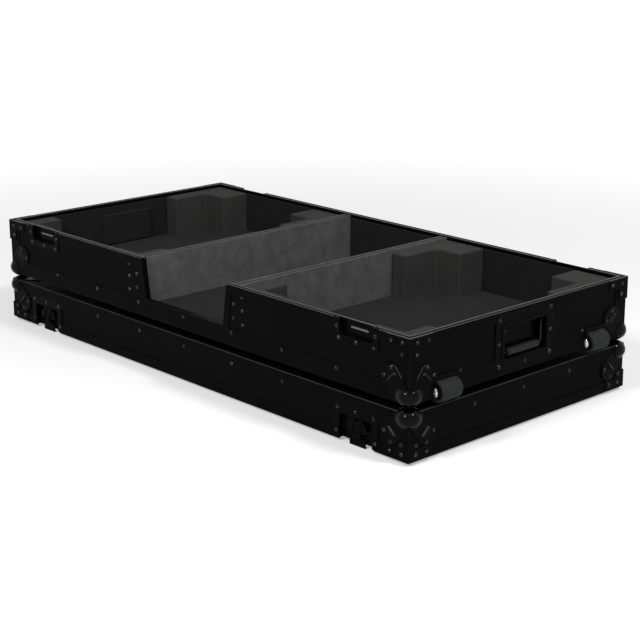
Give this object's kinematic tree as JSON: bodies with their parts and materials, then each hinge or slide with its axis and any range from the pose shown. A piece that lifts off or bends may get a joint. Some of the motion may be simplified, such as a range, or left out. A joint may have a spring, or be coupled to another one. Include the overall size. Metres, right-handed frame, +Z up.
{
  "type": "dj coffin case",
  "caption": "Black flight-style coffin case for two decks and a mixer, its foam-lined base standing open on its own lid.",
  "frame": {"origin": "centre of the bounding box at the floor, under the four latch hooks that the lid stands on", "axes": "+X along the case towards the end with the wheels, +Y from the front with the mixer opening to the back, +Z up"},
  "size_m": [1.204, 0.589, 0.2198],
  "materials": {
    "black_laminate": "smooth black laminate on plywood",
    "black_extrusion": "satin black anodised",
    "black_corner": "gloss black",
    "black_latch": "semi-gloss black",
    "bright_steel": "zinc-plated",
    "dark_foam": "matt dark grey foam",
    "divider_lining": "grey felt-lined plywood",
    "dark_rubber": "matt dark grey"
  },
  "bodies": {
    "lid": {"lid_front_panel": "black_laminate", "lid_back_panel": "black_laminate", "lid_left_panel": "black_laminate", "lid_right_panel": "black_laminate", "lid_top_panel": "black_laminate", "lid_extrusion_frame": "black_extrusion", "lid_lining": "dark_foam", "lid_ball_corner_front_left": "black_corner", "lid_ball_corner_front_right": "black_corner", "lid_ball_corner_back_right": "black_corner", "lid_ball_corner_back_left": "black_corner", "latch_dish_front_left": "black_latch", "latch_dish_front_right": "black_latch", "latch_dish_back_right": "black_latch", "latch_dish_back_left": "black_latch"},
    "base": {"base_front_panel": "black_laminate", "base_back_panel": "black_laminate", "base_left_panel": "black_laminate", "base_right_panel": "black_laminate", "base_floor_panel": "black_laminate", "base_extrusion_frame": "black_extrusion", "left_divider": "divider_lining", "right_divider": "divider_lining", "base_ball_corner_front_left": "black_corner", "base_ball_corner_front_right": "black_corner", "base_ball_corner_back_right": "black_corner", "base_ball_corner_back_left": "black_corner", "latch_keeper_front_left": "black_latch", "latch_keeper_front_right": "black_latch", "latch_keeper_back_right": "black_latch", "latch_keeper_back_left": "black_latch", "handle_dish_left": "black_latch", "handle_dish_right": "black_latch", "wheel_housing_front": "black_latch", "wheel_housing_back": "black_latch", "left_bay_floor_foam": "dark_foam", "mixer_bay_floor_foam": "dark_foam", "right_bay_floor_foam": "dark_foam", "left_bay_pad_front_left": "dark_foam", "left_bay_pad_front_right": "dark_foam", "left_bay_pad_back_right": "dark_foam", "left_bay_pad_back_left": "dark_foam", "right_bay_pad_front_left": "dark_foam", "right_bay_pad_front_right": "dark_foam", "right_bay_pad_back_right": "dark_foam", "right_bay_pad_back_left": "dark_foam"},
    "bail_left": {"handle_bail_left": "bright_steel", "handle_grip_left": "dark_rubber"},
    "bail_right": {"handle_bail_right": "bright_steel", "handle_grip_right": "dark_rubber"},
    "wheel_front": {"wheel_front": "dark_rubber"},
    "wheel_back": {"wheel_back": "dark_rubber"},
    "wing_front_left": {"latch_wing_front_left": "black_latch"},
    "hook_front_left": {"latch_hook_front_left": "black_latch"},
    "wing_front_right": {"latch_wing_front_right": "black_latch"},
    "hook_front_right": {"latch_hook_front_right": "black_latch"},
    "wing_back_right": {"latch_wing_back_right": "black_latch"},
    "hook_back_right": {"latch_hook_back_right": "black_latch"},
    "wing_back_left": {"latch_wing_back_left": "black_latch"},
    "hook_back_left": {"latch_hook_back_left": "black_latch"}
  },
  "joints": [
    {"name": "base_lift", "type": "slide", "parent": "lid", "child": "base", "axis": [0, 0, 1], "range_m": [0, 0.3]},
    {"name": "wing_turn_front_left", "type": "hinge", "parent": "lid", "child": "wing_front_left", "pos_m": [-0.47, -0.2845, 0.026], "axis": [0, 1, 0], "range_deg": [0, 180]},
    {"name": "hook_travel_front_left", "type": "slide", "parent": "lid", "child": "hook_front_left", "axis": [0, 0, -1], "range_m": [0, 0.009]},
    {"name": "wing_turn_front_right", "type": "hinge", "parent": "lid", "child": "wing_front_right", "pos_m": [0.46, -0.2845, 0.026], "axis": [0, 1, 0], "range_deg": [0, 180]},
    {"name": "hook_travel_front_right", "type": "slide", "parent": "lid", "child": "hook_front_right", "axis": [0, 0, -1], "range_m": [0, 0.009]},
    {"name": "wing_turn_back_right", "type": "hinge", "parent": "lid", "child": "wing_back_right", "pos_m": [0.46, 0.2845, 0.026], "axis": [0, -1, 0], "range_deg": [0, 180]},
    {"name": "hook_travel_back_right", "type": "slide", "parent": "lid", "child": "hook_back_right", "axis": [0, 0, -1], "range_m": [0, 0.009]},
    {"name": "wing_turn_back_left", "type": "hinge", "parent": "lid", "child": "wing_back_left", "pos_m": [-0.47, 0.2845, 0.026], "axis": [0, -1, 0], "range_deg": [0, 180]},
    {"name": "hook_travel_back_left", "type": "slide", "parent": "lid", "child": "hook_back_left", "axis": [0, 0, -1], "range_m": [0, 0.009]},
    {"name": "bail_swing_left", "type": "hinge", "parent": "base", "child": "bail_left", "pos_m": [-0.587, 0, 0.1825], "axis": [0, 1, 0], "range_deg": [0, 100], "stiffness_Nm_per_rad": 0.3, "springref_deg": -20.05},
    {"name": "bail_swing_right", "type": "hinge", "parent": "base", "child": "bail_right", "pos_m": [0.577, 0, 0.1825], "axis": [0, -1, 0], "range_deg": [0, 100], "stiffness_Nm_per_rad": 0.3, "springref_deg": -20.05},
    {"name": "wheel_roll_front", "type": "hinge", "parent": "base", "child": "wheel_front", "pos_m": [0.583, -0.1995, 0.1138], "axis": [0, 1, 0], "continuous": true},
    {"name": "wheel_roll_back", "type": "hinge", "parent": "base", "child": "wheel_back", "pos_m": [0.583, 0.1995, 0.1138], "axis": [0, 1, 0], "continuous": true}
  ],
  "couplings": [
    {"joint": "hook_travel_front_left", "follows": "wing_turn_front_left", "m_per_rad": 0.0028648},
    {"joint": "hook_travel_front_right", "follows": "wing_turn_front_right", "m_per_rad": 0.0028648},
    {"joint": "hook_travel_back_right", "follows": "wing_turn_back_right", "m_per_rad": 0.0028648},
    {"joint": "hook_travel_back_left", "follows": "wing_turn_back_left", "m_per_rad": 0.0028648}
  ]
}
